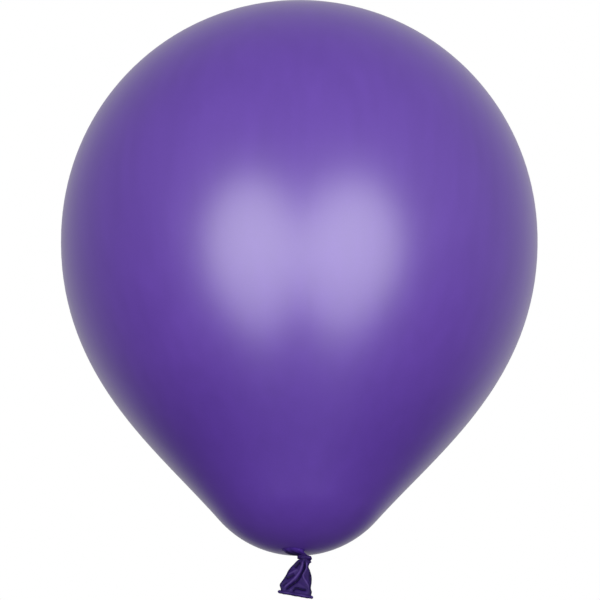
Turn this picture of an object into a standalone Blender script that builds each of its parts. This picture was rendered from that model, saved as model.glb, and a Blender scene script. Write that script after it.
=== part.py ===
"""Latex balloon, twelve inch, blown up and tied with an overhand knot.

Metres, +Z up. The origin is the tie point, in the narrow gap between the balloon's chin and its
knot. The body is above it and the knot and the tail hang below it. X runs along the flat of the
tail, and Y through it.

One dipped skin makes the whole balloon. It is divided here where it bends: the blown-up
envelope, the neck gathered into its mouth, the knot (a wrapped turn, and the strand tucked
through it) and the tail that is left below the knot, with the rolled lip round its mouth.
"""

import math

import bmesh
import bpy
from mathutils import Matrix, Vector

MM = 0.001

# The envelope: its outline runs crown, equator, flank, chin.
EQUATOR_RADIUS = 153.2 * MM
EQUATOR_HEIGHT = 207.8 * MM  # above the chin
BODY_HEIGHT = 362.1 * MM  # chin to crown
CROWN_REACH = 85.3 * MM  # how far each stretch of the outline holds its direction
SHOULDER_REACH = 86.5 * MM
BELLY_REACH = 86.7 * MM
FLANK_REACH = 68.4 * MM
CHIN_RADIUS = 66.0 * MM
CHIN_SWEEP = math.radians(49.7)
CHIN_Z = 0.9 * MM
MOUTH_RADIUS = 3.3 * MM
FILM = 0.15 * MM
CROWN_STEPS = 13
FLANK_STEPS = 11
CHIN_STEPS = 8
TURN_STEPS = 48

# The gathered neck.
PLEATS = 9
PLEAT_DEPTH = 0.09  # as a share of the radius
NECK_POINTS = 4 * PLEATS
NECK_PROFILE = (  # radius and height, from inside the mouth down to the foot over the knot
    (1.9 * MM, 2.6 * MM),
    (2.7 * MM, 2.1 * MM),
    (2.85 * MM, 1.4 * MM),
    (2.7 * MM, 0.95 * MM),
    (1.6 * MM, 0.4 * MM),
    (1.3 * MM, -0.2 * MM),
)
NECK_LEAN_Z = 1.0 * MM  # below this height the neck leans towards the knot

# The knot.
KNOT_PIVOT = Vector((2.4, 0.0, -2.0)) * MM
WRAP_RADIUS = 3.1 * MM  # to the middle of the wrapped strand
WRAP_STEPS = 44
WRAP_TIP_STEPS = 3  # steps over which the strand narrows at each end
WRAP_STRAND = 1.1 * MM
WRAP_PITCH = 2.6 * MM
WRAP_TURNS = 1.35
WRAP_START = math.radians(205)
WRAP_TOP_Z = -1.4 * MM
TUCK_STRAND = 1.5 * MM
TUCK_STEPS = 14
TUCK_CROWN = 0.97  # how far up its own round top the tucked strand starts
TUCK_FOOT_Z = -5.25 * MM
KNOT_LEAN = 0.28  # sideways travel for each unit of fall
STRAND_TIP = 0.45  # how far a strand's end narrows

# The tail and its rolled lip.
TAIL_PIVOT = Vector((3.8, 0.0, -6.9)) * MM
TAIL_BALL = 1.3 * MM  # the tail's round top, which turns under the tucked strand
TAIL_BALL_RISES = (0.97, 0.8, 0.45)  # its rings, as shares of its radius above the pivot
LIP_CENTRE = Vector((-1.6, 0.0, -26.4)) * MM
LIP_TILT = math.radians(10)
LIP_BEAD = 1.0 * MM
LIP_HALF_LENGTH = 10.4 * MM
LIP_HALF_DEPTH = 1.35 * MM
LIP_ARC_STEPS = 8
LIP_RUN_STEPS = 10
JOIN_GAP = 0.35 * MM
TAIL_HALF_WIDTH = 9.6 * MM
TAIL_HALF_DEPTH = 1.15 * MM
TAIL_SKIN = 0.35 * MM
TAIL_RINGS = 14
TAIL_POINTS = 48
TAIL_RING_SPACING = 1.6  # above 1, the rings are closer together near the pivot
TAIL_DRIFT = 0.7  # below 1, the tail swings over to its mouth early in its fall
TAIL_SPREAD = 0.4  # below 1, it widens early in its fall
TAIL_FLATTENED_BY = 0.25  # the share of its fall by which it is flat
TAIL_SQUARENESS = 0.35
FOLD_DEPTH = 0.45 * MM
FOLD_WIDTH = 9.0 * MM
FOLD_PHASE = 0.6
FOLDED_BY = 0.4  # the share of the tail's fall by which its folds are full

INFLATED_LATEX = (0.105, 0.046, 0.33, 1.0)
THICK_LATEX = (0.032, 0.016, 0.1, 1.0)


def clear_scene():
    for obj in list(bpy.data.objects):
        bpy.data.objects.remove(obj, do_unlink=True)


def new_collection(name):
    collection = bpy.data.collections.new(name)
    bpy.context.scene.collection.children.link(collection)
    return collection


def latex(name, colour, roughness):
    material = bpy.data.materials.new(name)
    material.use_nodes = True
    shader = material.node_tree.nodes["Principled BSDF"]
    shader.inputs["Base Color"].default_value = colour
    shader.inputs["Roughness"].default_value = roughness
    shader.inputs["Metallic"].default_value = 0.0
    material.diffuse_color = colour
    return material


def pivot(name, place, collection, parent=None):
    """An empty on a joint's axis. Its place is in the world, whatever its parent."""
    empty = bpy.data.objects.new(name, None)
    empty.empty_display_size = 4 * MM
    empty.location = place if parent is None else place - Vector(parent["place"])
    empty["place"] = place
    empty.parent = parent
    collection.objects.link(empty)
    return empty


def add_piece(name, data, material, collection, parent=None):
    """A named object at its parent's pivot, which its mesh or curve is drawn around."""
    piece = bpy.data.objects.new(name, data)
    piece.parent = parent
    data.materials.append(material)
    collection.objects.link(piece)
    return piece


def cubic(start, leave, arrive, end, steps):
    """Points along a Bezier cubic, its end left out."""
    points = []
    for i in range(steps):
        t = i / steps
        u = 1 - t
        points.append(u**3 * start + 3 * u * u * t * leave + 3 * u * t * t * arrive + t**3 * end)
    return points


def envelope_outline():
    """The outer side of the envelope, top to bottom, as (radius, 0, height) points."""
    crown = Vector((0, 0, CHIN_Z + BODY_HEIGHT))
    equator = Vector((EQUATOR_RADIUS, 0, CHIN_Z + EQUATOR_HEIGHT))
    chin_centre = Vector((0, 0, CHIN_Z + CHIN_RADIUS))
    flank_end = chin_centre + CHIN_RADIUS * Vector((math.sin(CHIN_SWEEP), 0, -math.cos(CHIN_SWEEP)))
    along_flank = Vector((math.cos(CHIN_SWEEP), 0, math.sin(CHIN_SWEEP)))
    up = Vector((0, 0, 1))
    outward = Vector((1, 0, 0))
    outline = cubic(
        crown, crown + CROWN_REACH * outward, equator + SHOULDER_REACH * up, equator, CROWN_STEPS
    )
    outline += cubic(
        equator, equator - BELLY_REACH * up, flank_end + FLANK_REACH * along_flank, flank_end, FLANK_STEPS
    )
    mouth_angle = math.asin(MOUTH_RADIUS / CHIN_RADIUS)
    for i in range(CHIN_STEPS + 1):
        angle = CHIN_SWEEP + (mouth_angle - CHIN_SWEEP) * i / CHIN_STEPS
        outline.append(chin_centre + CHIN_RADIUS * Vector((math.sin(angle), 0, -math.cos(angle))))
    return outline


def edge_mesh(name, points):
    """A mesh of one open line of edges."""
    mesh = bpy.data.meshes.new(name)
    edges = [(i, i + 1) for i in range(len(points) - 1)]
    mesh.from_pydata(points, edges, [])
    return mesh


def make_envelope(material, collection):
    """The blown-up body: a turned skin, open at the mouth where the neck leaves it."""
    envelope = add_piece("envelope", edge_mesh("envelope", envelope_outline()), material, collection)
    turn = envelope.modifiers.new("turn", "SCREW")
    turn.steps = TURN_STEPS
    turn.render_steps = TURN_STEPS
    turn.use_merge_vertices = True
    turn.merge_threshold = 0.01 * MM
    turn.use_smooth_shade = True
    skin = envelope.modifiers.new("film", "SOLIDIFY")
    skin.thickness = FILM
    skin.offset = -1
    return envelope


def loft(name, rings, open_foot=False):
    """A mesh through rings of equal point counts, listed top to bottom and anticlockwise from above."""
    sections = bmesh.new()
    loops = []
    for ring in rings:
        verts = [sections.verts.new(point) for point in ring]
        loops.append([sections.edges.new(pair) for pair in zip(verts, verts[1:] + verts[:1])])
    for upper, lower in zip(loops, loops[1:]):
        bmesh.ops.bridge_loops(sections, edges=upper + lower)
    ends = loops[:1] if open_foot else [loops[0], loops[-1]]
    for end in ends:
        bmesh.ops.edgenet_fill(sections, edges=end)
    bmesh.ops.recalc_face_normals(sections, faces=sections.faces)
    mesh = bpy.data.meshes.new(name)
    sections.to_mesh(mesh)
    sections.free()
    mesh.shade_smooth()
    mesh.set_sharp_from_angle(angle=math.radians(50))
    return mesh


def ease(share):
    """0 to 1 with a level start and end."""
    share = min(max(share, 0.0), 1.0)
    return share * share * (3 - 2 * share)


def make_neck(material, collection, parent):
    """The neck, drawn into pleats and narrowing from the mouth to the knot, which it leans towards."""
    rings = []
    for radius, z in NECK_PROFILE:
        shift = KNOT_PIVOT.x * ease((NECK_LEAN_Z - z) / (NECK_LEAN_Z - NECK_PROFILE[-1][1]))
        ring = []
        for i in range(NECK_POINTS):
            angle = 2 * math.pi * i / NECK_POINTS
            pleated = radius * (1 - PLEAT_DEPTH * (0.5 - 0.5 * math.cos(PLEATS * angle)))
            ring.append((shift + pleated * math.cos(angle), pleated * math.sin(angle), z))
        rings.append(ring)
    return add_piece("neck_gather", loft("neck_gather", rings), material, collection, parent)


def strand(name, points, radii, thickness):
    """A round strand of latex along the points, as thick at each as its share of the thickness."""
    curve = bpy.data.curves.new(name, "CURVE")
    curve.dimensions = "3D"
    curve.bevel_depth = thickness
    curve.bevel_resolution = 4
    curve.use_fill_caps = True
    line = curve.splines.new("POLY")
    line.points.add(len(points) - 1)
    for point, place, radius in zip(line.points, points, radii):
        point.co = (*place, 1)
        point.radius = radius
    line.use_smooth = True
    return curve


def rounded_ends(steps, over):
    """Shares of a strand's thickness at each step, narrowing over the first and last few."""
    shares = []
    for i in range(steps + 1):
        inset = min(i, steps - i, over) / over
        shares.append(STRAND_TIP + (1 - STRAND_TIP) * math.sqrt(1 - (1 - inset) ** 2))
    return shares


def make_wrap(material, collection, parent):
    """The turn of the knot that is wrapped round the tucked strand, seen from outside."""
    points = []
    for i in range(WRAP_STEPS + 1):
        share = i / WRAP_STEPS
        angle = WRAP_START + 2 * math.pi * WRAP_TURNS * share
        z = WRAP_TOP_Z - WRAP_PITCH * WRAP_TURNS * share
        shift = KNOT_PIVOT.x + KNOT_LEAN * (KNOT_PIVOT.z - z)
        place = Vector((shift + WRAP_RADIUS * math.cos(angle), WRAP_RADIUS * math.sin(angle), z))
        points.append(place - KNOT_PIVOT)
    wrap = strand("knot_wrap", points, rounded_ends(WRAP_STEPS, WRAP_TIP_STEPS), WRAP_STRAND)
    return add_piece("knot_wrap", wrap, material, collection, parent)


def make_tuck(material, collection, parent):
    """The strand that is tucked through the wrap. Its round top turns under the neck's foot."""
    top_z = KNOT_PIVOT.z + TUCK_STRAND * TUCK_CROWN
    points = []
    radii = []
    for i in range(TUCK_STEPS + 1):
        z = top_z + (TUCK_FOOT_Z - top_z) * (i / TUCK_STEPS)
        above = max(z - KNOT_PIVOT.z, 0.0)
        points.append(Vector((KNOT_LEAN * max(KNOT_PIVOT.z - z, 0.0), 0, z - KNOT_PIVOT.z)))
        radii.append(math.sqrt(1 - (above / TUCK_STRAND) ** 2))
    tuck = strand("knot_tuck", points, radii, TUCK_STRAND)
    return add_piece("knot_tuck", tuck, material, collection, parent)


def fold_wave(across, depth):
    """How far the folds push the skin through, at a place across the tail."""
    return depth * math.sin(2 * math.pi * across / FOLD_WIDTH + FOLD_PHASE)


def tail_section(share):
    """The ring of the tail at a share of its fall from pivot to mouth, in the world."""
    mouth = LIP_CENTRE + (LIP_BEAD + JOIN_GAP) * Vector((math.sin(LIP_TILT), 0, math.cos(LIP_TILT)))
    centre = Vector((
        TAIL_PIVOT.x + (mouth.x - TAIL_PIVOT.x) * share**TAIL_DRIFT,
        0,
        TAIL_PIVOT.z + (mouth.z - TAIL_PIVOT.z) * share,
    ))
    half_width = TAIL_BALL + (TAIL_HALF_WIDTH - TAIL_BALL) * share**TAIL_SPREAD
    half_depth = TAIL_BALL + (TAIL_HALF_DEPTH - TAIL_BALL) * min(share / TAIL_FLATTENED_BY, 1.0)
    fold = FOLD_DEPTH * ease(share / FOLDED_BY)
    squareness = 1 - TAIL_SQUARENESS * ease(share * 2)
    tilt = Matrix.Rotation(LIP_TILT * share, 3, "Y")
    ring = []
    for i in range(TAIL_POINTS):
        angle = 2 * math.pi * i / TAIL_POINTS
        across = half_width * math.cos(angle)
        through = half_depth * math.copysign(abs(math.sin(angle)) ** squareness, math.sin(angle))
        ring.append(centre + tilt @ Vector((across, through + fold_wave(across, fold), 0)))
    return ring


def make_tail(material, collection, parent):
    """The flattened tube left below the knot: round at its pivot, wide and folded at its open mouth."""
    rings = []
    for rise in TAIL_BALL_RISES:
        radius = TAIL_BALL * math.sqrt(1 - rise**2)
        rings.append([
            TAIL_PIVOT + Vector((radius * math.cos(angle), radius * math.sin(angle), rise * TAIL_BALL))
            for angle in (2 * math.pi * i / TAIL_POINTS for i in range(TAIL_POINTS))
        ])
    rings += [tail_section((i / TAIL_RINGS) ** TAIL_RING_SPACING) for i in range(TAIL_RINGS + 1)]
    local = [[point - TAIL_PIVOT for point in ring] for ring in rings]
    tail = add_piece("tail", loft("tail", local, open_foot=True), material, collection, parent)
    skin = tail.modifiers.new("skin", "SOLIDIFY")
    skin.thickness = TAIL_SKIN
    skin.offset = -1
    return tail


def make_lip(material, collection, parent):
    """The lip rolled round the mouth of the tail, pressed into a long narrow ring."""
    tilt = Matrix.Rotation(LIP_TILT, 3, "Y")
    straight = LIP_HALF_LENGTH - LIP_HALF_DEPTH
    outline = []
    for side in (1, -1):
        for i in range(LIP_ARC_STEPS):
            angle = math.pi * i / LIP_ARC_STEPS - math.pi / 2
            across = straight + LIP_HALF_DEPTH * math.cos(angle)
            outline.append((side * across, side * LIP_HALF_DEPTH * math.sin(angle)))
        for i in range(LIP_RUN_STEPS):
            outline.append((side * straight * (1 - 2 * i / LIP_RUN_STEPS), side * LIP_HALF_DEPTH))
    points = []
    for across, through in outline:
        place = Vector((across, through + fold_wave(across, FOLD_DEPTH), 0))
        points.append(LIP_CENTRE + tilt @ place - TAIL_PIVOT)
    lip = strand("rolled_lip", points, [1.0] * len(points), LIP_BEAD)
    lip.splines[0].use_cyclic_u = True
    return add_piece("rolled_lip", lip, material, collection, parent)


def main():
    clear_scene()
    balloon = new_collection("latex_balloon")
    inflated = latex("inflated_latex", INFLATED_LATEX, 0.36)
    thick = latex("thick_latex", THICK_LATEX, 0.42)
    neck_axis = pivot("neck_twist_axis", Vector((0, 0, 0)), balloon)
    knot_axis = pivot("knot_tilt_axis", KNOT_PIVOT, balloon, neck_axis)
    tail_axis = pivot("tail_flap_axis", TAIL_PIVOT, balloon, knot_axis)
    make_envelope(inflated, balloon)
    make_neck(thick, balloon, neck_axis)
    make_wrap(thick, balloon, knot_axis)
    make_tuck(thick, balloon, knot_axis)
    make_tail(thick, balloon, tail_axis)
    make_lip(thick, balloon, tail_axis)


main()
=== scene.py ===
"""The looks of a twelve-inch latex balloon, tied with an overhand knot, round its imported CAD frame.

Metres, +Z up, the origin at the tie. The body is above it, and the knot, tail and rolled lip hang
below it. X runs along the flat of the tail. The camera is in front, at -Y, and low.
"""

import math

import bmesh
import bpy
from mathutils import Matrix, Vector


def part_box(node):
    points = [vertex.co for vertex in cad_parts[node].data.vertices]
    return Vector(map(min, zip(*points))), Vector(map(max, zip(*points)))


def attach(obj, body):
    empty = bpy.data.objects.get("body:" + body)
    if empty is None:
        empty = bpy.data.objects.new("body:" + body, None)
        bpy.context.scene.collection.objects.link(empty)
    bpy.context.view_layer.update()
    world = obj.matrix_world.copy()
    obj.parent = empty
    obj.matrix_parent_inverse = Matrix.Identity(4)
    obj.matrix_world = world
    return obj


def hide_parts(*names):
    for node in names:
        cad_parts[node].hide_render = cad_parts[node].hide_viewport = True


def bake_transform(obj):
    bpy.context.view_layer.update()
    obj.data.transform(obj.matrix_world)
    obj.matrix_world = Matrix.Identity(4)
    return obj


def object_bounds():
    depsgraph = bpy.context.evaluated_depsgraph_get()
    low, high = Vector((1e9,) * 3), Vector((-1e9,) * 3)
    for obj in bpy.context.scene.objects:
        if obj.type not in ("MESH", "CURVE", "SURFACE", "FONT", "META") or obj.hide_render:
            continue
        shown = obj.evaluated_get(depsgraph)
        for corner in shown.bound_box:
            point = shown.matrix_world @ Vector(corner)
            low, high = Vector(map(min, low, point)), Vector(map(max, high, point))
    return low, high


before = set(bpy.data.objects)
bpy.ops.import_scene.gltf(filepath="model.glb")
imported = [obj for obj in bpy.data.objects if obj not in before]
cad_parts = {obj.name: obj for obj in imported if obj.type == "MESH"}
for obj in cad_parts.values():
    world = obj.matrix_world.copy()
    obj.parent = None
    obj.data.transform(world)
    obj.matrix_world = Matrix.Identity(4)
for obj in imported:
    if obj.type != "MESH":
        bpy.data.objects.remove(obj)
cad_low, cad_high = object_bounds()

MM = 0.001

# Camera.
CAMERA_DISTANCE = 1.8
CAMERA_ELEVATION = math.radians(-21)
CAMERA_LENS = 168.8
CAMERA_ROLL = math.radians(0.3)
CAMERA_SENSOR = 36.0
AIM_ABOVE_MIDDLE = 0.85 * MM
AIM_ASIDE = 0.65 * MM

# Body outline: crown, equator, flank, chin. A reach is how far the outline holds its direction.
EQUATOR_ABOVE_CHIN = 207.8 * MM
CROWN_REACH = 85.3 * MM
SHOULDER_REACH = 86.5 * MM
BELLY_REACH = 86.7 * MM
FLANK_REACH = 68.4 * MM
CHIN_RADIUS = 66.0 * MM
CHIN_SWEEP = math.radians(49.7)
COLLAR_LAND = 12.5 * MM  # the turned body ends at this radius, and the collar is drawn from there
CROWN_STEPS = 44
FLANK_STEPS = 34
CHIN_STEPS = 16
BODY_TURN = 216
MERGE_DISTANCE = 0.001 * MM
CREASE_RADIUS = 1.6 * MM  # the fine creases are spaced round every tube as if it were this thick

# The camera comes first.


def place_camera(scene):
    """The camera stands in front of the balloon and looks up at it from below."""
    lens = bpy.data.cameras.new("camera")
    lens.lens = CAMERA_LENS
    lens.sensor_width = CAMERA_SENSOR
    camera = bpy.data.objects.new("camera", lens)
    scene.collection.objects.link(camera)
    aim = Vector((AIM_ASIDE, 0, (cad_low.z + cad_high.z) / 2 + AIM_ABOVE_MIDDLE))
    back = Vector((0, -math.cos(CAMERA_ELEVATION), math.sin(CAMERA_ELEVATION)))
    camera.location = aim + CAMERA_DISTANCE * back
    level = (-back).to_track_quat("-Z", "Y").to_matrix()
    camera.rotation_euler = (level @ Matrix.Rotation(CAMERA_ROLL, 3, "Z")).to_euler()
    scene.camera = camera


# Shader building.


def add_node(tree, kind, label="", **settings):
    node = tree.nodes.new(kind)
    node.label = label
    for key, value in settings.items():
        setattr(node, key, value)
    return node


def set_inputs(node, **values):
    for key, value in values.items():
        node.inputs[key.replace("_", " ")].default_value = value
    return node


def calculate(tree, operation, first, second, clamp=False):
    """A Math node. Each of first and second is a socket or a number."""
    node = add_node(tree, "ShaderNodeMath", operation.lower(), operation=operation, use_clamp=clamp)
    for socket, value in zip(node.inputs, (first, second)):
        if isinstance(value, bpy.types.NodeSocket):
            tree.links.new(value, socket)
        else:
            socket.default_value = value
    return node.outputs[0]


def blend_colour(tree, kind, factor, first, second):
    """A colour Mix node. Each input is a socket, a number or a colour."""
    node = add_node(tree, "ShaderNodeMix", kind.lower(), data_type="RGBA", blend_type=kind)
    sockets = (node.inputs["Factor"], node.inputs[6], node.inputs[7])
    for socket, value in zip(sockets, (factor, first, second)):
        if isinstance(value, bpy.types.NodeSocket):
            tree.links.new(value, socket)
        else:
            socket.default_value = value
    return node.outputs[2]


def remap(tree, value, from_low, from_high, to_low=0.0, to_high=1.0):
    node = add_node(tree, "ShaderNodeMapRange", "remap", interpolation_type="SMOOTHSTEP")
    tree.links.new(value, node.inputs["Value"])
    set_inputs(node, From_Min=from_low, From_Max=from_high, To_Min=to_low, To_Max=to_high)
    return node.outputs["Result"]


def speckle(tree, place, scale, detail, roughness, stretch=None):
    """Noise at a scale in features a metre, stretched along its axes where stretch says."""
    if stretch:
        mapping = add_node(tree, "ShaderNodeMapping", "stretch")
        mapping.inputs["Scale"].default_value = stretch
        tree.links.new(place, mapping.inputs["Vector"])
        place = mapping.outputs["Vector"]
    noise = add_node(tree, "ShaderNodeTexNoise", "speckle")
    tree.links.new(place, noise.inputs["Vector"])
    set_inputs(noise, Scale=scale, Detail=detail, Roughness=roughness)
    return noise.outputs["Fac"]


def read_attribute(tree, name, output="Fac"):
    return add_node(tree, "ShaderNodeAttribute", name, attribute_name=name).outputs[output]


def grey(tree, value):
    """One value in all three channels of a colour."""
    node = add_node(tree, "ShaderNodeCombineColor", "grey")
    for channel in node.inputs:
        tree.links.new(value, channel)
    return node.outputs["Color"]


def add_bump(tree, shader, height, strength, distance):
    bump = add_node(tree, "ShaderNodeBump", "bump")
    set_inputs(bump, Strength=strength, Distance=distance)
    tree.links.new(height, bump.inputs["Height"])
    tree.links.new(bump.outputs["Normal"], shader.inputs["Normal"])


def vary_roughness(tree, shader, pattern, amount):
    """Adds a pattern to the roughness that the shader starts with."""
    rise = calculate(tree, "MULTIPLY", pattern, amount)
    start = shader.inputs["Roughness"].default_value
    tree.links.new(calculate(tree, "ADD", rise, start), shader.inputs["Roughness"])


def new_group(name, inputs, outputs):
    """A node group whose named inputs and outputs are all floats."""
    group = bpy.data.node_groups.new(name, "ShaderNodeTree")
    kind = "NodeSocketFloat"
    for label, value in inputs:
        socket = group.interface.new_socket(name=label, in_out="INPUT", socket_type=kind)
        socket.default_value = value
    for label in outputs:
        group.interface.new_socket(name=label, in_out="OUTPUT", socket_type=kind)
    given = group.nodes.new("NodeGroupInput").outputs
    gives = group.nodes.new("NodeGroupOutput").inputs
    return group, given, gives


def group_texture(group, kind, label, place, scale, **settings):
    """A texture node in a group, at a scale that is one of the group's inputs."""
    texture = add_node(group, kind, label)
    group.links.new(place, texture.inputs["Vector"])
    group.links.new(scale, texture.inputs["Scale"])
    return set_inputs(texture, **settings)


def use_group(tree, group, **values):
    node = add_node(tree, "ShaderNodeGroup", group.name, node_tree=group)
    set_inputs(node, **values)
    return node


# Finishes.

NOISE_MEAN = 0.5
RUN_STRETCH = (1.0, 1.0, 0.12)  # a run is about eight times as tall as it is wide
CREASE_STRETCH = (1.0, 1.0, 0.16)
CREASE_SCALE = 1000.0
# The fine creases' colour follows their bump: painted shade in their hollows, painted light on their
# ridges.
CREASE_PAINTED_SHADE = 0.88
CREASE_PAINTED_LIGHT = 1.14

VIOLET_FILM = (0.0785, 0.0302, 0.248, 1.0)
VIOLET_CHIN = (0.06, 0.0205, 0.21, 1.0)
VIOLET_SLACK = (0.0155, 0.0058, 0.062, 1.0)
# Painted highlight: the lighter, greyer colour that the fold mark lays on crests.
VIOLET_PAINTED_CREST_LIGHT = (0.044, 0.0245, 0.118, 1.0)
VIOLET_GATHER = (0.034, 0.0115, 0.135, 1.0)
# Painted shade: the near-black colour that the fold mark lays in folds.
VIOLET_PAINTED_FOLD_SHADE = (0.0035, 0.0011, 0.021, 1.0)
TALC = (0.42, 0.38, 0.5, 1.0)

# Near the chin the film is less stretched, so deeper in colour: fully below the first height, and
# not at all above the second.
CHIN_TONE_FULL = 50 * MM
CHIN_TONE_NONE = 120 * MM

LATEX_IOR = 1.5
FILM_ROUGHNESS = 0.35
FILM_GLOSS_CHANGE = 0.06
SLACK_ROUGHNESS = 0.42
SLACK_GLOSS_CHANGE = 0.16


def dip_streaks_group():
    """The faint cloudiness and vertical runs that dipping leaves in a latex skin."""
    group, given, gives = new_group(
        "dip streaks",
        (("Cloud Scale", 14.0), ("Run Scale", 60.0), ("Strength", 0.1)),
        ("Tone", "Gloss"),
    )
    noise = "ShaderNodeTexNoise"
    place = add_node(group, "ShaderNodeTexCoord").outputs["Object"]
    cloud = group_texture(
        group, noise, "cloud", place, given["Cloud Scale"],
        Detail=4.0, Roughness=0.55, Distortion=0.6,
    ).outputs["Fac"]
    upright = add_node(group, "ShaderNodeMapping", "upright runs")
    upright.inputs["Scale"].default_value = RUN_STRETCH
    group.links.new(place, upright.inputs["Vector"])
    runs = group_texture(
        group, noise, "runs", upright.outputs["Vector"], given["Run Scale"],
        Detail=2.0, Roughness=0.4,
    ).outputs["Fac"]
    mixed = calculate(group, "ADD", cloud, runs)
    centred = calculate(group, "SUBTRACT", mixed, 2 * NOISE_MEAN)
    scaled = calculate(group, "MULTIPLY", centred, given["Strength"])
    group.links.new(calculate(group, "ADD", scaled, 1.0), gives["Tone"])
    group.links.new(calculate(group, "SUBTRACT", cloud, NOISE_MEAN), gives["Gloss"])
    return group


def pearl_grain_group():
    """Fine mica grain in the film: a height for a bump, and a glint that lifts the tone."""
    group, given, gives = new_group(
        "pearl grain", (("Grain Scale", 1500.0), ("Glint Share", 0.1)), ("Height", "Glint")
    )
    place = add_node(group, "ShaderNodeTexCoord").outputs["Object"]
    scale = given["Grain Scale"]
    grain = group_texture(
        group, "ShaderNodeTexNoise", "grain", place, scale, Detail=2.0, Roughness=0.6
    )
    group.links.new(grain.outputs["Fac"], gives["Height"])
    flakes = group_texture(group, "ShaderNodeTexVoronoi", "flakes", place, scale)
    shade = add_node(group, "ShaderNodeSeparateColor", "flake shade")
    group.links.new(flakes.outputs["Color"], shade.inputs["Color"])
    centred = calculate(group, "SUBTRACT", shade.outputs["Red"], NOISE_MEAN)
    glint = calculate(group, "MULTIPLY", centred, given["Glint Share"])
    group.links.new(calculate(group, "ADD", glint, 1.0), gives["Glint"])
    return group


def talc_group():
    """The trace of talc that stays in the folds and on the slack skin."""
    group, given, gives = new_group(
        "talc", (("Patch Scale", 500.0), ("Amount", 0.1)), ("Mask",)
    )
    place = add_node(group, "ShaderNodeTexCoord").outputs["Object"]
    patches = group_texture(
        group, "ShaderNodeTexNoise", "patches", place, given["Patch Scale"],
        Detail=5.0, Roughness=0.7,
    )
    mask = remap(group, patches.outputs["Fac"], from_low=0.52, from_high=0.74)
    amount = calculate(group, "MULTIPLY", mask, given["Amount"], clamp=True)
    group.links.new(amount, gives["Mask"])
    return group


def start_latex(name, roughness, specular):
    """A rubber shader, and the parts of its tree that every latex finish here starts from."""
    material = bpy.data.materials.new(name)
    material.use_nodes = True
    tree = material.node_tree
    shader = tree.nodes["Principled BSDF"]
    set_inputs(shader, Roughness=roughness, IOR=LATEX_IOR, Specular_IOR_Level=specular)
    return material, tree, shader


def make_film_latex(streaks, grain, talc):
    """The stretched film: violet with a satin pearl, darker where the skin is slack and thick."""
    material, tree, shader = start_latex("violet pearl film", FILM_ROUGHNESS, specular=1.0)
    slack = read_attribute(tree, "slack")
    place = add_node(tree, "ShaderNodeTexCoord").outputs["Object"]
    split = add_node(tree, "ShaderNodeSeparateXYZ")
    tree.links.new(place, split.inputs[0])
    deeper = remap(tree, split.outputs["Z"], CHIN_TONE_FULL, CHIN_TONE_NONE, 1.0, 0.0)
    dipped = use_group(tree, streaks, Cloud_Scale=12.0, Run_Scale=110.0, Strength=0.14)
    pearl = use_group(tree, grain, Grain_Scale=1400.0, Glint_Share=0.05)
    dusty = use_group(tree, talc, Patch_Scale=420.0, Amount=0.05)
    film = blend_colour(tree, "MIX", deeper, VIOLET_FILM, VIOLET_CHIN)
    base = blend_colour(tree, "MIX", slack, film, VIOLET_GATHER)
    tone = calculate(tree, "MULTIPLY", dipped.outputs["Tone"], pearl.outputs["Glint"])
    toned = blend_colour(tree, "MULTIPLY", 1.0, base, grey(tree, tone))
    powder = calculate(tree, "MULTIPLY", dusty.outputs["Mask"], slack)
    tree.links.new(blend_colour(tree, "MIX", powder, toned, TALC), shader.inputs["Base Color"])
    vary_roughness(tree, shader, dipped.outputs["Gloss"], FILM_GLOSS_CHANGE)
    add_bump(tree, shader, pearl.outputs["Height"], strength=0.06, distance=0.2 * MM)
    return material


def make_slack_latex(streaks, grain, talc):
    """The unstretched skin of the knot, tail and lip.

    It is thick, so it is darker, and it has fine creases that run lengthways. Painted light on
    the crests and painted shade in the folds come from its fold mark.
    """
    material, tree, shader = start_latex("violet slack latex", SLACK_ROUGHNESS, specular=0.08)
    along = read_attribute(tree, "along", "Vector")
    creases = speckle(tree, along, CREASE_SCALE, 2.0, 0.5, CREASE_STRETCH)
    dipped = use_group(tree, streaks, Cloud_Scale=260.0, Run_Scale=700.0, Strength=0.3)
    pearl = use_group(tree, grain, Grain_Scale=5200.0, Glint_Share=0.16)
    dusty = use_group(tree, talc, Patch_Scale=520.0, Amount=0.03)
    tone = calculate(tree, "MULTIPLY", dipped.outputs["Tone"], pearl.outputs["Glint"])
    # Painted shade in the creases' hollows and painted light on their ridges, from the same noise as
    # their bump.
    crease_painted_light_and_shade = remap(tree, creases, 0.3, 0.7, CREASE_PAINTED_SHADE, CREASE_PAINTED_LIGHT)
    streaks_glints_and_crease_shading = calculate(tree, "MULTIPLY", tone, crease_painted_light_and_shade)
    # The fold mark is painted light and shade: crests get a painted highlight colour, folds a painted
    # shade colour.
    fold = read_attribute(tree, "fold")
    crest = remap(tree, fold, 0.0, 1.0)
    painted_fold_shade = remap(tree, fold, -1.0, 0.0, 1.0, 0.0)
    gather = read_attribute(tree, "gather")
    base = blend_colour(tree, "MIX", gather, VIOLET_SLACK, VIOLET_GATHER)
    lit = blend_colour(tree, "MIX", crest, base, VIOLET_PAINTED_CREST_LIGHT)
    painted_shade_colour = blend_colour(tree, "MIX", painted_fold_shade, lit, VIOLET_PAINTED_FOLD_SHADE)
    toned = blend_colour(tree, "MULTIPLY", 1.0, painted_shade_colour, grey(tree, streaks_glints_and_crease_shading))
    dusted = blend_colour(tree, "MIX", dusty.outputs["Mask"], toned, TALC)
    tree.links.new(dusted, shader.inputs["Base Color"])
    vary_roughness(tree, shader, creases, SLACK_GLOSS_CHANGE)
    grain_height = calculate(tree, "MULTIPLY", pearl.outputs["Height"], 0.1)
    height = calculate(tree, "ADD", creases, grain_height)
    add_bump(tree, shader, height, strength=0.35, distance=0.16 * MM)
    return material


# Shapes.


def ease(share):
    """0 to 1 with a level start and end."""
    share = min(max(share, 0.0), 1.0)
    return share * share * (3 - 2 * share)


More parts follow.
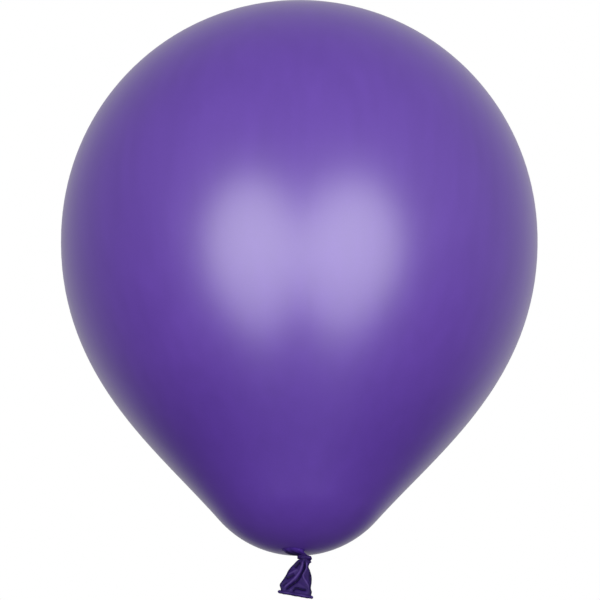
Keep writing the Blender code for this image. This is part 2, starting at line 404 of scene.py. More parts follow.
def along_points(points, at):
    """A smooth reading of a list of (key, value) pairs. The keys fall or rise all the way."""
    keys = [key for key, _ in points]
    values = [value for _, value in points]
    if (at - keys[0]) * (keys[-1] - keys[0]) <= 0:
        return values[0]
    for i in range(len(keys) - 1):
        if (at - keys[i]) * (at - keys[i + 1]) <= 0:
            slopes = []
            for k in (i, i + 1):
                low, high = max(k - 1, 0), min(k + 1, len(keys) - 1)
                slopes.append((values[high] - values[low]) / (keys[high] - keys[low]))
            span = keys[i + 1] - keys[i]
            t = (at - keys[i]) / span
            return (
                (2 * t**3 - 3 * t * t + 1) * values[i]
                + (t**3 - 2 * t * t + t) * span * slopes[0]
                + (3 * t * t - 2 * t**3) * values[i + 1]
                + (t**3 - t * t) * span * slopes[1]
            )
    return values[-1]


def cubic(start, leave, arrive, end, steps):
    """Points along a Bezier cubic, its end left out."""
    points = []
    for i in range(steps):
        t = i / steps
        u = 1 - t
        points.append(u**3 * start + 3 * u * u * t * leave + 3 * u * t * t * arrive + t**3 * end)
    return points


def body_outline(radius, crown_z, chin_z):
    """The body's outline from the crown down to the land round the collar."""
    crown = Vector((0, 0, crown_z))
    equator = Vector((radius, 0, chin_z + EQUATOR_ABOVE_CHIN))
    chin_centre = Vector((0, 0, chin_z + CHIN_RADIUS))
    flank_end = chin_centre + CHIN_RADIUS * Vector((math.sin(CHIN_SWEEP), 0, -math.cos(CHIN_SWEEP)))
    along_flank = Vector((math.cos(CHIN_SWEEP), 0, math.sin(CHIN_SWEEP)))
    up = Vector((0, 0, 1))
    outward = Vector((1, 0, 0))
    outline = cubic(
        crown, crown + CROWN_REACH * outward, equator + SHOULDER_REACH * up, equator, CROWN_STEPS
    )
    flank_arrive = flank_end + FLANK_REACH * along_flank
    outline += cubic(equator, equator - BELLY_REACH * up, flank_arrive, flank_end, FLANK_STEPS)
    land_angle = math.asin(COLLAR_LAND / CHIN_RADIUS)
    for i in range(CHIN_STEPS + 1):
        angle = CHIN_SWEEP + (land_angle - CHIN_SWEEP) * i / CHIN_STEPS
        outline.append(chin_centre + CHIN_RADIUS * Vector((math.sin(angle), 0, -math.cos(angle))))
    return outline


def open_edges(form):
    """The edges with a face on one side only."""
    return [edge for edge in form.edges if len(edge.link_faces) == 1]


def draw_out(form, loop, ring, shade, marks, run):
    """Extrudes a loop of edges and lays its new points on a ring. Gives the new loop."""
    made = bmesh.ops.extrude_edge_only(form, edges=loop)["geom"]
    points = {item for item in made if isinstance(item, bmesh.types.BMVert)}
    lay_ring(points, ring, shade, marks, run)
    return [
        item
        for item in made
        if isinstance(item, bmesh.types.BMEdge) and all(end in points for end in item.verts)
    ]


def lay_ring(points, ring, shade, marks, run):
    """Lays points where ring(turn) says, at a run along the skin.

    shade(turn) gives each point's fold: painted shade down to -1, as in a fold, or painted light up
    to 1, as on a crest.
    """
    turn, along, fold = marks
    for point in points:
        at = point[turn]
        point.co = ring(at)
        point[fold] = shade(at)
        point[along] = (CREASE_RADIUS * math.cos(at), CREASE_RADIUS * math.sin(at), run)


def start_form():
    """An empty bmesh whose points remember their turn, place along the skin, and fold, which is
    the painted light or shade of their colour.
    """
    form = bmesh.new()
    layers = form.verts.layers
    marks = layers.float.new("turn"), layers.float_vector.new("along"), layers.float.new("fold")
    return form, marks


def mark_turns(form, turn):
    for point in form.verts:
        point[turn] = math.atan2(point.co.y, point.co.x)


def finish_piece(name, form, materials):
    bmesh.ops.recalc_face_normals(form, faces=form.faces)
    mesh = bpy.data.meshes.new(name)
    form.to_mesh(mesh)
    form.free()
    mesh.shade_smooth()
    mesh.attributes.remove(mesh.attributes["turn"])
    for material in materials:
        mesh.materials.append(material)
    piece = bpy.data.objects.new(name, mesh)
    bpy.context.scene.collection.objects.link(piece)
    return piece


def draw_tube(name, rings, shades, sides, material, closed=False):
    """A tube extruded from ring to ring. Its ends are capped, or joined up when it is closed."""
    form, marks = start_form()
    bmesh.ops.create_circle(form, cap_ends=False, segments=sides, radius=1.0)
    mark_turns(form, marks[0])
    first = form.edges[:]
    lay_ring(form.verts, rings[0], shades[0], marks, 0.0)
    run = 0.0
    loop = first
    for before, ring, shade in zip(rings, rings[1:], shades[1:]):
        run += (ring(0.0) + ring(math.pi) - before(0.0) - before(math.pi)).length / 2
        loop = draw_out(form, loop, ring, shade, marks, run)
    if closed:
        bmesh.ops.bridge_loops(form, edges=first + loop)
    else:
        for end in (first, loop):
            bmesh.ops.edgeloop_fill(form, edges=end)
    return finish_piece(name, form, [material])


# The body, its collar and its neck.

MOUTH_RADIUS = 3.3 * MM
MOUTH_LIFT = MOUTH_RADIUS**2 / (2 * CHIN_RADIUS)  # the mouth's edge above the chin's lowest point

# Collar rings from the land down to the neck: centre x, centre y, half width in x, half width in
# y, fall below the body's own surface, and the share of the pleats, in millimetres.
COLLAR_RINGS = (
    (-1.4, -1.4, 10.7, 9.2, 0.0, 0.0),
    (-2.2, -2.0, 8.8, 7.4, 0.03, 0.0),
    (-2.65, -2.2, 7.1, 6.3, 0.1, 0.05),
    (-2.7, -2.25, 6.2, 5.7, 0.3, 0.15),
    (-2.45, -2.2, 6.05, 5.35, 0.66, 0.25),
    (-2.05, -2.1, 6.05, 5.05, 1.05, 0.35),
    (-1.5, -1.9, 5.95, 4.65, 1.42, 0.45),
    (-0.8, -1.6, 5.7, 4.25, 1.7, 0.6),
    (0.0, -1.2, 5.2, 3.85, 1.9, 0.75),
    (1.0, -0.7, 4.5, 3.4, 2.02, 0.9),
    (2.1, -0.3, 3.65, 3.0, 2.15, 1.0),
    (3.2, -0.1, 2.95, 2.75, 2.45, 1.0),
    (3.9, 0.0, 2.65, 2.55, 2.85, 1.0),
    (4.1, 0.0, 2.5, 2.4, 3.4, 1.0),
    (4.2, 0.0, 2.0, 1.9, 3.8, 0.8),
)
COLLAR_RUN = 0.6 * MM  # from ring to ring along the skin
THICK_FROM_RING = 3
# Painted light and painted shade for the collar's fold mark, here and in the pleat values below.
COLLAR_LIGHT = 0.05
COLLAR_SHADE = 0.42
COLLAR_PLEATS = 11
PLEAT_DEPTH = 0.075
PLEAT_SWAY = 1.1
PLEAT_LEAN = 0.5
PLEAT_LIGHT = 0.7
PLEAT_LIT_FROM = 0.6

# The film thickens towards this middle of the collar, in x and y, and at the crown.
COLLAR_X = -2.7 * MM
COLLAR_Y = -2.4 * MM
COLLAR_SQUASH = 1.12
COLLAR_EDGE = 8.6 * MM
COLLAR_FADE = 2.4 * MM
CROWN_SPOT = 26 * MM
CROWN_THICKENING = 0.42

GATHER_FOOT = -2.2 * MM  # the skin is all slack and thick below this height
GATHER_SPAN = 1.6 * MM


def pleat(turn):
    """Uneven pleats round the neck, from 0 in a fold to 1 on its crest."""
    uneven = PLEAT_SWAY * math.sin(2 * turn + 0.7) + PLEAT_LEAN * math.sin(turn)
    return 0.5 + 0.5 * math.cos(COLLAR_PLEATS * turn + uneven)


def collar_ring(row, chin_z):
    centre_x, centre_y, half_x, half_y, fall, share = row

    def ring(turn):
        pull = 1 - PLEAT_DEPTH * share * (1 - pleat(turn))
        x = centre_x + half_x * pull * math.cos(turn)
        y = centre_y + half_y * pull * math.sin(turn)
        surface = chin_z + (x * x + y * y) * MM * MM / (2 * CHIN_RADIUS)
        return Vector((x * MM, y * MM, surface - fall * MM))

    return ring


def collar_shade(row):
    """Painted light on the crests of the pleats, and painted shade low down on the collar's hollow
    left side.
    """
    fall, share = row[4:]

    def shade(turn):
        crest = (pleat(turn) - PLEAT_LIT_FROM) * share * PLEAT_LIGHT
        hollow = 0.5 - 0.5 * math.cos(turn)
        return crest + COLLAR_LIGHT - COLLAR_SHADE * fall * hollow

    return shade


def turn_body(form, turn, radius, crown_z, chin_z):
    """Spins the body's outline round Z, open at the land."""
    points = [form.verts.new(place) for place in body_outline(radius, crown_z, chin_z)]
    line = [form.edges.new(pair) for pair in zip(points, points[1:])]
    bmesh.ops.spin(
        form,
        geom=points + line,
        cent=(0, 0, 0),
        axis=(0, 0, 1),
        angle=2 * math.pi,
        steps=BODY_TURN,
        use_merge=True,
    )
    bmesh.ops.remove_doubles(form, verts=form.verts, dist=MERGE_DISTANCE)
    mark_turns(form, turn)


def mark_thickness(form, middle_z):
    """Marks how slack the film is, and how far the skin below it is still drawn by the film."""
    slack = form.verts.layers.float.new("slack")
    gather = form.verts.layers.float.new("gather")
    for point in form.verts:
        x, y, z = point.co
        if z < middle_z:
            point[gather] = ease((z - GATHER_FOOT) / GATHER_SPAN)
            spread = math.hypot(x - COLLAR_X, (y - COLLAR_Y) * COLLAR_SQUASH)
            point[slack] = ease((COLLAR_EDGE - spread) / COLLAR_FADE)
        elif z > middle_z:
            point[slack] = CROWN_THICKENING * ease(1 - math.hypot(x, y) / CROWN_SPOT)


def make_envelope_skin(film, thick):
    """The blown-up film, turned from its outline, and the slack collar and neck drawn out of it.

    The collar's thick rings and the cap that closes the neck have the slack latex, the second slot.
    """
    low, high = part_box("envelope")
    chin_z = low.z - MOUTH_LIFT
    form, marks = start_form()
    turn_body(form, marks[0], high.x, high.z, chin_z)
    loop = open_edges(form)
    for number, row in enumerate(COLLAR_RINGS):
        film_faces = set(form.faces)
        run = (number + 1) * COLLAR_RUN
        loop = draw_out(form, loop, collar_ring(row, chin_z), collar_shade(row), marks, run)
        if number >= THICK_FROM_RING:
            for face in set(form.faces) - film_faces:
                face.material_index = 1
    for face in bmesh.ops.edgeloop_fill(form, edges=loop)["faces"]:
        face.material_index = 1
    mark_thickness(form, high.z / 2)
    return finish_piece("envelope_skin", form, [film, thick])


# The knot. Lengths in millimetres.

KNOT_CENTRE = Vector((4.3, 0.0, 0.0)) * MM

STRAND_SIDES = 40
STRAND_LOOK = 0.005  # how far ahead and behind, as a share, a strand's direction is read
STRAND_TIP_WIDTH = 0.1  # how wide its blunt tip is, as a share
# Painted light on wrinkle crests and the outer side, and painted shade over each strand.
WRINKLE_LIGHT = 3.5
OUTER_LIGHT = 0.2
STRAND_SHADE = 0.12

WRAP_STEPS = 150
WRAP_HALF_OUT, WRAP_HALF_UP = 0.98, 1.12
WRAP_TIPS = 0.035
WRAP_START, WRAP_SWEEP = math.radians(60), math.radians(420)
WRAP_REACH_X, WRAP_REACH_Y = 3.6, 2.75
WRAP_FALL, WRAP_SINK, WRAP_TILT = 2.45, 0.9, 0.2
WRAP_END = 0.1  # the share of the strand at each end that is led inwards
WRAP_END_IN = 1.2

TUCK_STEPS = 80
TUCK_HALF = 0.85
TUCK_TIPS = 0.06
TUCK_START, TUCK_SWEEP = math.radians(115), math.radians(200)
TUCK_REACH_X, TUCK_NARROW_X = 3.75, 1.3
TUCK_NARROW_FROM, TUCK_NARROW_RATE = 0.5, 1.6
TUCK_REACH_Y, TUCK_NARROW_Y = 2.3, 0.6
TUCK_FALL, TUCK_SINK, TUCK_SINK_RATE = 3.9, 1.7, 1.5

# Pleats that run along a strand: depth, how many there are, how they drift round it, their sway,
# and where they start.
WRAP_PLEATS = (
    (0.09, 5, 0.0, 2.2, 0.6),
    (0.05, 9, -5.0, 0.0, 1.3),
    (0.05, 2, 23, 0.0, -math.pi / 2),
)
TUCK_PLEATS = ((0.09, 4, 3.0, 0.0, 0.0), (0.05, 7, -6, 0.0, 0.4))
SWAY_RATE = 7.5  # how fast a pleat's sway goes from side to side along the strand

# Core rings: fall, centre x, half width in x, half width in y.
CORE_RINGS = (
    (1.9, 4.2, 2.1, 2.0),
    (2.6, 4.2, 2.8, 2.5),
    (3.6, 4.2, 3.0, 2.5),
    (4.6, 4.0, 2.9, 2.4),
    (5.6, 3.8, 2.8, 2.2),
    (6.4, 3.6, 2.5, 1.9),
)
CORE_SIDES = 96
CORE_PLEAT_DEPTH = 0.07
CORE_TWIST = 0.08
CORE_LIGHT, CORE_SHADE = 0.7, 0.75


def strand_rings(route, half_out, half_up, steps, wrinkle, tips):
    """Rings along a route. route(share) gives a place and the way out from the knot's middle."""
    rings = []
    for i in range(steps + 1):
        share = i / steps
        ahead = route(min(share + STRAND_LOOK, 1.0))[0]
        behind = route(max(share - STRAND_LOOK, 0.0))[0]
        place, outward = route(share)
        along = (ahead - behind).normalized()
        outward = (outward - along * outward.dot(along)).normalized()
        up = along.cross(outward)
        end = min(min(share, 1 - share) / tips, 1.0)
        dome = math.sqrt(max(1 - (1 - end) ** 2, 0.0))
        narrow = dome * (1 - STRAND_TIP_WIDTH) + STRAND_TIP_WIDTH

        def ring(turn, place=place, outward=outward, up=up, narrow=narrow, share=share):
            width = narrow * (1 + wrinkle(turn, share)) * MM
            out = half_out * width * math.cos(turn)
            rise = half_up * width * math.sin(turn)
            return place + out * outward + rise * up

        rings.append(ring)
    return rings


def round_knot(turn, reach_x, reach_y, z):
    """A place round the knot's middle, from distances in millimetres, and the way out there."""
    place = Vector((reach_x * math.cos(turn) * MM, reach_y * math.sin(turn) * MM, z * MM))
    return KNOT_CENTRE + place, Vector((math.cos(turn), math.sin(turn), 0))


def wrap_route(share):
    """Once round the neck and a little more, lower on the right, its ends led in at the back."""
    turn = WRAP_START + WRAP_SWEEP * share
    ends = ease((WRAP_END - share) / WRAP_END) + ease((share - (1 - WRAP_END)) / WRAP_END)
    reach_x = WRAP_REACH_X - WRAP_END_IN * ends
    reach_y = WRAP_REACH_Y - WRAP_END_IN * ends
    z = -WRAP_TILT * math.cos(turn) - WRAP_FALL - WRAP_SINK * share
    return round_knot(turn, reach_x, reach_y, z)


def tuck_route(share):
    """Down from behind the right of the wrap, under it at the front right, and into the tail."""
    turn = TUCK_START - TUCK_SWEEP * share
    narrowed = ease(share * TUCK_NARROW_RATE - TUCK_NARROW_FROM)
    reach_x = TUCK_REACH_X - TUCK_NARROW_X * narrowed
    reach_y = TUCK_REACH_Y - TUCK_NARROW_Y * share
    z = -TUCK_FALL - TUCK_SINK * ease(share * TUCK_SINK_RATE)
    return round_knot(turn, reach_x, reach_y, z)


def pleated(rows):
    """Gives wrinkle(turn, share), how far the pleats in the rows lift a strand's skin."""

    def wrinkle(turn, share):
        lift = 0.0
        for depth, count, drift, sway, start in rows:
            swayed = sway * math.sin(SWAY_RATE * share)
            lift += depth * math.cos(count * turn + drift * share + swayed + start)
        return lift

    return wrinkle


def strand_shades(wrinkle, steps):
    """Painted light on the crests of a strand's wrinkles, and painted shade on the side turned in."""

    def shade(turn, share):
        return WRINKLE_LIGHT * wrinkle(turn, share) + OUTER_LIGHT * math.cos(turn) - STRAND_SHADE

    return [lambda turn, share=i / steps: shade(turn, share) for i in range(steps + 1)]


def core_ring(fall, centre_x, half_x, half_y):
    """One ring of the bunched strand inside the wrap, which fills it from the neck to the tail."""

    def ring(turn):
        fold = 1 - CORE_PLEAT_DEPTH * (1 - pleat(turn + CORE_TWIST * fall))
        x = centre_x + half_x * fold * math.cos(turn)
        return Vector((x, half_y * fold * math.sin(turn), -fall)) * MM

    return ring


# Painted shade over the core inside the wrap, a little lighter on its pleats' crests.
def core_shade(turn):
    return CORE_LIGHT * pleat(turn) - CORE_SHADE


def make_knot(material):
    pleats = pleated(WRAP_PLEATS)
    wrap = draw_tube(
        "wrap_strand",
        strand_rings(wrap_route, WRAP_HALF_OUT, WRAP_HALF_UP, WRAP_STEPS, pleats, WRAP_TIPS),
        strand_shades(pleats, WRAP_STEPS),
        STRAND_SIDES,
        material,
    )
    pleats = pleated(TUCK_PLEATS)
    tuck = draw_tube(
        "tuck_strand",
        strand_rings(tuck_route, TUCK_HALF, TUCK_HALF, TUCK_STEPS, pleats, TUCK_TIPS),
        strand_shades(pleats, TUCK_STEPS),
        STRAND_SIDES,
        material,
    )
    rings = [core_ring(*row) for row in CORE_RINGS]
    core = draw_tube("knot_core", rings, [core_shade] * len(rings), CORE_SIDES, material)
    return wrap, tuck, core


# The tail. Edges as (z, x), in millimetres, top to bottom.
TAIL_LEFT = (
    (-4.4, -0.5),
    (-5.2, -1.4),
    (-7.0, -2.95),
    (-9.2, -5.0),
    (-11.5, -6.6),
    (-13.9, -7.7),
    (-16.5, -9.3),
    (-19.5, -11.35),
    (-20.9, -11.55),
    (-22.2, -11.1),
    (-23.6, -10.9),
    (-25.6, -11.6),
)
TAIL_RIGHT = (
    (-4.4, 6.6),
    (-5.4, 7.1),
    (-6.6, 6.9),
    (-8.0, 6.3),
    (-9.2, 6.3),
    (-10.8, 7.0),
    (-14.8, 8.1),
    (-18.6, 8.15),
    (-22.4, 7.7),
    (-24.7, 8.3),
    (-26.4, 8.0),
    (-27.6, 8.0),
)
TAIL_DEPTHS = (
    (-4.4, 2.0),
    (-6.0, 2.1),
    (-8.0, 1.9),
    (-11.0, 1.5),
    (-16.0, 1.25),
    (-22.0, 1.1),
    (-27.0, 0.75),
)
THINNEST_TAIL = 0.12  # half the least thickness, where the mouth closes
TAIL_TOP = -4.4
TAIL_FOOT = -26.5
TAIL_STEPS = 92
TAIL_SIDES = 224
TAIL_WALL = 0.3
TAIL_MOUTH = (0.1, 1.2, 3.0)  # heights above the foot of the rings that turn up into the mouth
HANG_ASIDE = 0.6
FLATTENING = 0.45  # the tail's section goes from an oval at the knot towards a slab at the lip
FLATTEN_RATE = 1.6
LIP_TILT = math.tan(math.radians(10))
LIP_MIDDLE = -2.3

# Painted light on crests, and painted shade at the edges and inside the mouth, for the tail's fold
# mark.
CREST_LIGHT = 1.2
EDGE_SHADE = 1.1
EDGE_SHARPNESS = 7
INSIDE_SHADE = 0.8

# How much of a crease is left at the lip, and the height over which it settles to that. A crease
# starts and ends within these shares of its length, and is already this far in at its very tips.
CREASE_AT_LIP = 0.25
CREASE_SETTLE = 2.5
CREASE_RISE = 0.9
CREASE_START, CREASE_START_IN = 0.12, 0.25
CREASE_END, CREASE_END_IN = 0.15, 0.2
CREASE_EDGE_RATE = 1.6  # how fast a crease comes in from the tail's two edges

# Creases: points as (x, z), height out of the skin and width, in millimetres.
FRONT_CREASES = (
    (
        (
            (2.6, -5.4), (2.4, -8.0), (1.7, -9.7), (1.1, -11.8), (-0.1, -13.6),
            (-2.6, -16.6), (-5.5, -19.4), (-7.4, -20.8), (-9.2, -23.0),
        ),
        0.95,
        0.75,
    ),
    (
        (
            (5.0, -5.6), (5.1, -8.3), (4.9, -10.2), (3.8, -12.2), (2.7, -14.4),
            (3.5, -16.6), (5.0, -19.0), (6.1, -20.9), (6.4, -24.6),
        ),
        0.85,
        0.65,
    ),
    (
        (
            (3.9, -5.6), (3.7, -9.0), (3.3, -10.9), (2.3, -12.6),
            (1.0, -15.4), (-1.0, -18.1), (-4.6, -20.8), (-8.0, -23.7),
        ),
        -1.15,
        0.62,
    ),
    (((-6.4, -13.6), (-4.2, -12.7), (-2.3, -11.7), (-0.2, -10.6)), 0.55, 0.85),
    (((-7.4, -16.4), (-4.8, -15.2), (-2.4, -13.6)), -0.7, 0.85),
    (((0.9, -6.0), (-0.6, -7.8), (-2.4, -9.6)), -0.85, 1.0),
    (((-2.6, -22.6), (-0.4, -22.6), (2.4, -23.4), (5.0, -23.7)), -0.9, 0.75),
    (((-3.4, -25.0), (-2.4, -22.8)), -0.5, 0.7),
    (((-0.6, -19.2), (1.6, -20.6), (3.8, -22.0)), 0.22, 0.8),
    (((-5.6, -25.0), (-4.4, -22.6)), 0.3, 0.8),
    (((7.0, -12.6), (6.8, -15.4), (6.9, -18.0)), -0.35, 0.6),
    (((-7.2, -19.0), (-9.6, -20.8)), -0.5, 0.7),
)
BACK_CREASES = (
    (
        ((2.4, -5.4), (2.2, -9.0), (0.6, -13.0), (-2.6, -17.0), (-5.4, -20.5), (-6.6, -24.0)),
        0.8,
        0.9,
    ),
    (((4.2, -5.6), (4.4, -9.6), (3.9, -14.6), (4.2, -19.7), (3.5, -25.0)), 0.65, 0.8),
    (((3.3, -6.0), (3.1, -10.0), (1.7, -14.4), (0.9, -19.0), (0.3, -24.5)), -0.7, 0.7),
    (((-4.6, -12.0), (-6.3, -16.0), (-9.0, -21.5)), 0.4, 0.9),
    (((5.6, -11.0), (5.8, -17.0), (5.4, -23.0)), -0.35, 0.7),
)


def crease_height(creases, x, z):
    """How far the creases lift the skin at x and z, in millimetres. Each fades at its ends."""
    lift = 0.0
    here = Vector((x, z))
    for points, height, width in creases:
        nearest, share = math.inf, 0.0
        for i, (start, end) in enumerate(zip(points, points[1:])):
            start, end = Vector(start), Vector(end)
            run = end - start
            t = min(max((here - start).dot(run) / run.length_squared, 0.0), 1.0)
            distance = (here - start - t * run).length
            if distance < nearest:
                nearest, share = distance, (i + t) / (len(points) - 1)
        fade = ease(share / CREASE_START + CREASE_START_IN)
        fade *= ease((1 - share) / CREASE_END + CREASE_END_IN)
        lift += height * fade * math.exp(-((nearest / width) ** 2))
    return lift


def tail_place(turn, fall, shrink=0.0):
    """A point on the tail's skin, and its lift. Rings tilt with the lip as they near it."""
    share = (TAIL_TOP - fall) / (TAIL_TOP - TAIL_FOOT)
    tilt = LIP_TILT * ease(share)
    across = math.cos(turn)
    left_z, right_z = fall, fall
    for _ in range(2):
        left, right = along_points(TAIL_LEFT, left_z), along_points(TAIL_RIGHT, right_z)
        x = (left + right) / 2 + ((right - left) / 2 - shrink) * across
        z = fall - tilt * (x - LIP_MIDDLE)
        left_z = z if across < 0 else fall
        right_z = z if across > 0 else fall
    through = abs(math.sin(turn)) ** (1 - FLATTENING * ease(share * FLATTEN_RATE))
    depth = max(along_points(TAIL_DEPTHS, fall) - shrink, THINNEST_TAIL)
    lift = 0.0
    if not shrink:
        settle = CREASE_AT_LIP + (1 - CREASE_AT_LIP) * ease((fall - TAIL_FOOT) / CREASE_SETTLE)
        creases = BACK_CREASES if math.sin(turn) > 0 else FRONT_CREASES
        lift = crease_height(creases, x, z) * min(through * CREASE_EDGE_RATE, 1.0) * settle
    y = math.copysign(depth * through + lift * CREASE_RISE, math.sin(turn))
    return Vector((x + HANG_ASIDE, y, z)) * MM, lift


def tail_ring(fall, shrink):
    return lambda turn: tail_place(turn, fall, shrink)[0]


def tail_shade(fall, shrink):
    """Painted light along a crest, and painted shade in a fold and at the tail's two edges, where the
    skin doubles over.
    """
    # Painted shade on the inner wall of the mouth.
    inside = INSIDE_SHADE if shrink else 0.0

    def shade(turn):
        edge = abs(math.cos(turn)) ** EDGE_SHARPNESS
        return CREST_LIGHT * tail_place(turn, fall, shrink)[1] - EDGE_SHADE * edge - inside

    return shade


def make_tail(material):
    """The flattened tube below the knot, creased where the knot pulls it, and open at its lip."""
    falls = [TAIL_TOP + (TAIL_FOOT - TAIL_TOP) * i / TAIL_STEPS for i in range(TAIL_STEPS + 1)]
    walls = [(fall, 0.0) for fall in falls]
    walls += [(TAIL_FOOT + rise, TAIL_WALL) for rise in TAIL_MOUTH]
    rings = [tail_ring(*wall) for wall in walls]
    shades = [tail_shade(*wall) for wall in walls]
    return draw_tube("tail_skin", rings, shades, TAIL_SIDES, material)


# The rolled lip, in millimetres.

LIP_LEFT, LIP_RIGHT = -11.9, 8.2
LIP_CENTRE_Z = -26.3
LIP_HALF_DEPTH = 0.72
LIP_BEAD = 0.9
LIP_STEPS = 260
LIP_SIDES = 36
LIP_LOOK = 0.002  # how far ahead and behind, as a share, the lip's direction is read
LIP_BLUNTNESS = 0.85
LIP_FLATNESS = 0.45
LIP_SWAY, LIP_SWAY_RATE = 0.14, 0.75
LIP_RIPPLE, LIP_RIPPLE_RATE = 0.09, 0.9

# The bead's swells along its length: size, how many, start. Its grooves: depth, turn, width.
LIP_SWELLS = ((0.05, 9, 1.0), (0.03, 17, 0.0))
LIP_GROOVES = ((0.1, 0.9, 0.12), (0.07, -1.7, 0.1))
LIP_ROPE = 0.03
LIP_ROPE_STRANDS = 3
LIP_ROPE_TURNS = 40
# Painted light along the bead's crest and painted shade below it, for the lip's fold mark.
LIP_CREST = -0.2  # how far round the bead from level its light line is
LIP_LIGHT = 0.6
LIP_SHADE = 0.25
LIP_MOTTLE, LIP_MOTTLE_RATE = 0.2, 40


def lip_route(share):
    """Once round the tail's mouth, pressed flat, its left end higher."""
    turn = 2 * math.pi * share
    middle, half = (LIP_LEFT + LIP_RIGHT) / 2, (LIP_RIGHT - LIP_LEFT) / 2
    x = middle + half * math.copysign(abs(math.cos(turn)) ** LIP_BLUNTNESS, math.cos(turn))
    y = LIP_HALF_DEPTH * math.copysign(abs(math.sin(turn)) ** LIP_FLATNESS, math.sin(turn))
    y += LIP_SWAY * math.sin(LIP_SWAY_RATE * x + 0.4)
    z = LIP_CENTRE_Z - LIP_TILT * (x - middle) + LIP_RIPPLE * math.sin(LIP_RIPPLE_RATE * x + 1.0)
    return Vector((x + HANG_ASIDE, y, z)) * MM


def lip_ring(share):
    """One ring of the bead, grooved where its turns lie on each other."""
    place = lip_route(share)
    along = (lip_route(share + LIP_LOOK) - lip_route(share - LIP_LOOK)).normalized()
    side = along.cross(Vector((0, 0, 1))).normalized()
    up = side.cross(along)
    round_mouth = 2 * math.pi * share
    swell = 1 + sum(
        size * math.sin(count * round_mouth + start) for size, count, start in LIP_SWELLS
    )

    def ring(turn):
        groove = sum(
            depth * math.exp(-((math.sin((turn - at) / 2) / width) ** 2))
            for depth, at, width in LIP_GROOVES
        )
        rope = LIP_ROPE * math.sin(LIP_ROPE_STRANDS * turn + LIP_ROPE_TURNS * round_mouth)
        radius = LIP_BEAD * MM * (swell - groove + rope)
        return place + radius * (math.cos(turn) * side + math.sin(turn) * up)

    return ring


def lip_shade(share):
    """Painted light along the bead's crest, and painted shade below and behind it."""
    mottle = LIP_MOTTLE * math.sin(LIP_MOTTLE_RATE * share)
    return lambda turn: LIP_LIGHT * math.cos(turn - LIP_CREST) - LIP_SHADE + mottle


def make_lip(material):
    """The bead at the tail's mouth: the skin's edge rolled on itself."""
    shares = [i / LIP_STEPS for i in range(LIP_STEPS)]
    rings = [lip_ring(share) for share in shares]
    shades = [lip_shade(share) for share in shares]
    return draw_tube("lip_roll", rings, shades, LIP_SIDES, material, closed=True)


# Floor.

FLOOR_Z = -1.1
FLOOR_RADIUS = 9.0
FLOOR_SIDES = 96
FLOOR_GREY = (0.78, 0.78, 0.79, 1.0)
FLOOR_WHITE = (0.82, 0.82, 0.82, 1.0)


def make_floor(scene):
    form = bmesh.new()
    bmesh.ops.create_circle(form, cap_ends=True, segments=FLOOR_SIDES, radius=FLOOR_RADIUS)
    bmesh.ops.translate(form, verts=form.verts, vec=(0, 0, FLOOR_Z))
    mesh = bpy.data.meshes.new("floor")
    form.to_mesh(mesh)
    form.free()
    material = bpy.data.materials.new("pale floor")
    material.use_nodes = True
    tree = material.node_tree
    shader = tree.nodes["Principled BSDF"]
    set_inputs(shader, Roughness=0.9)
    place = add_node(tree, "ShaderNodeTexCoord").outputs["Object"]
    tone = remap(tree, speckle(tree, place, 3.0, 4.0, 0.6), from_low=0.2, from_high=0.8)
    pale = blend_colour(tree, "MIX", tone, FLOOR_GREY, FLOOR_WHITE)
    tree.links.new(pale, shader.inputs["Base Color"])
    mesh.materials.append(material)
    floor = bpy.data.objects.new("floor", mesh)
    scene.collection.objects.link(floor)
    floor.visible_diffuse = False
    floor.visible_glossy = False


# Light.

CEILING_LIGHT = 1.08
GROUND_LIGHT = 0.22
HORIZON_SPREAD = 0.25
BACK_LIGHT = 0.8
SIDE_LIGHT = 0.12
MIRROR_FRONT = 0.05
MIRROR_BACK = 0.88
MIRROR_WAY = (0, 0.93, 0.36)
MIRROR_POWER = 2.2
MIRROR_GROUND = 0.08
MIRROR_GROUND_Z = -0.4  # the ground is mirrored this dimly from this far below the horizon

# Softboxes: azimuth and elevation in degrees round the balloon's middle, distance, width, height,
# watts.
SOFTBOXES = (
    ("left softbox", -22.6, -18.8, 1.9, 1.44, 2.1, 32.6),
    ("right softbox", 25.0, -18.8, 1.9, 1.56, 2.1, 35.2),
)


def shades_of_room(tree):
    """How bright the room is each way: in a mirror, as light shed on things, and to the camera."""
    way = add_node(tree, "ShaderNodeTexCoord").outputs["Generated"]
    split = add_node(tree, "ShaderNodeSeparateXYZ")
    tree.links.new(way, split.inputs[0])
    height = split.outputs["Z"]

    def facing(direction, low, high, power=1.0):
        """From low to high as the way turns to the direction."""
        dot = add_node(tree, "ShaderNodeVectorMath", "facing", operation="DOT_PRODUCT")
        tree.links.new(way, dot.inputs[0])
        dot.inputs[1].default_value = direction
        lifted = calculate(tree, "MAXIMUM", dot.outputs["Value"], 0.0)
        shaped = calculate(tree, "POWER", lifted, power)
        return calculate(tree, "ADD", calculate(tree, "MULTIPLY", shaped, high - low), low)

    sideways = facing((1, 0, 0), 0.0, SIDE_LIGHT)
    behind = facing((0, 1, 0), 0.0, BACK_LIGHT)
    upper = remap(tree, height, -HORIZON_SPREAD, HORIZON_SPREAD, GROUND_LIGHT, CEILING_LIGHT)
    shed = calculate(tree, "ADD", calculate(tree, "ADD", upper, behind), sideways)
    glow = facing(MIRROR_WAY, MIRROR_FRONT, MIRROR_BACK, MIRROR_POWER)
    glow = calculate(tree, "ADD", glow, sideways)
    dimming = remap(tree, height, MIRROR_GROUND_Z, 0.0, MIRROR_GROUND, 1.0)
    return calculate(tree, "MULTIPLY", glow, dimming), shed, 1.0


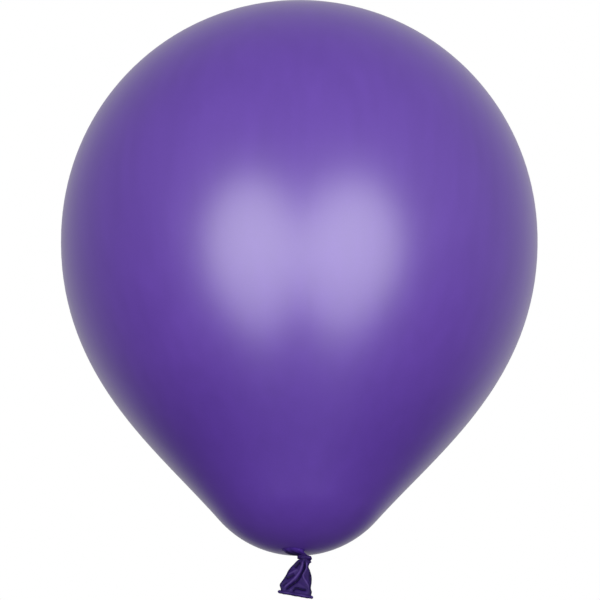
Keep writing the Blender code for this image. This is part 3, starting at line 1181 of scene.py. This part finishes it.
def make_surroundings(scene):
    """A white room: pure white to the camera, lit softly from above, and mirrored dimly."""
    world = bpy.data.worlds.new("white room")
    scene.world = world
    world.use_nodes = True
    # Found by bounced rays only, so no seam shows where a softbox sets.
    world.cycles.sampling_method = "NONE"
    tree = world.node_tree
    shades = []
    for strength in shades_of_room(tree):
        shade = add_node(tree, "ShaderNodeBackground", "shade")
        shade.inputs["Color"].default_value = (1, 1, 1, 1)
        if isinstance(strength, bpy.types.NodeSocket):
            tree.links.new(strength, shade.inputs["Strength"])
        else:
            shade.inputs["Strength"].default_value = strength
        shades.append(shade.outputs["Background"])
    path = add_node(tree, "ShaderNodeLightPath")
    result = shades[0]
    for ray, shade in (("Is Diffuse Ray", shades[1]), ("Is Camera Ray", shades[2])):
        either = add_node(tree, "ShaderNodeMixShader")
        tree.links.new(path.outputs[ray], either.inputs["Fac"])
        tree.links.new(result, either.inputs[1])
        tree.links.new(shade, either.inputs[2])
        result = either.outputs["Shader"]
    tree.links.new(result, tree.nodes["World Output"].inputs["Surface"])


def make_softboxes(scene):
    middle = (cad_low + cad_high) / 2
    for name, azimuth, elevation, distance, width, height, watts in SOFTBOXES:
        lamp = bpy.data.lights.new(name, "AREA")
        lamp.shape = "ELLIPSE"
        lamp.size = width
        lamp.size_y = height
        lamp.energy = watts
        box = bpy.data.objects.new(name, lamp)
        a, e = math.radians(azimuth), math.radians(elevation)
        back = Vector((math.sin(a) * math.cos(e), -math.cos(a) * math.cos(e), math.sin(e)))
        box.location = middle + distance * back
        box.rotation_euler = back.to_track_quat("Z", "Y").to_euler()
        box.visible_camera = False
        scene.collection.objects.link(box)


def main():
    scene = bpy.context.scene
    scene.view_settings.view_transform = "Standard"
    place_camera(scene)
    make_surroundings(scene)
    make_softboxes(scene)
    make_floor(scene)

    streaks, grain, talc = dip_streaks_group(), pearl_grain_group(), talc_group()
    film = make_film_latex(streaks, grain, talc)
    slack = make_slack_latex(streaks, grain, talc)

    skin = make_envelope_skin(film, slack)
    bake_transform(skin)
    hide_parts("envelope", "neck_gather")

    wrap, tuck, core = make_knot(slack)
    for piece in (wrap, tuck, core):
        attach(piece, "knot")
    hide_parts("knot_wrap")
    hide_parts("knot_tuck")

    tail = make_tail(slack)
    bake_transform(tail)
    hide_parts("tail")

    lip = make_lip(slack)
    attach(lip, "tail")
    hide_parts("rolled_lip")


main()
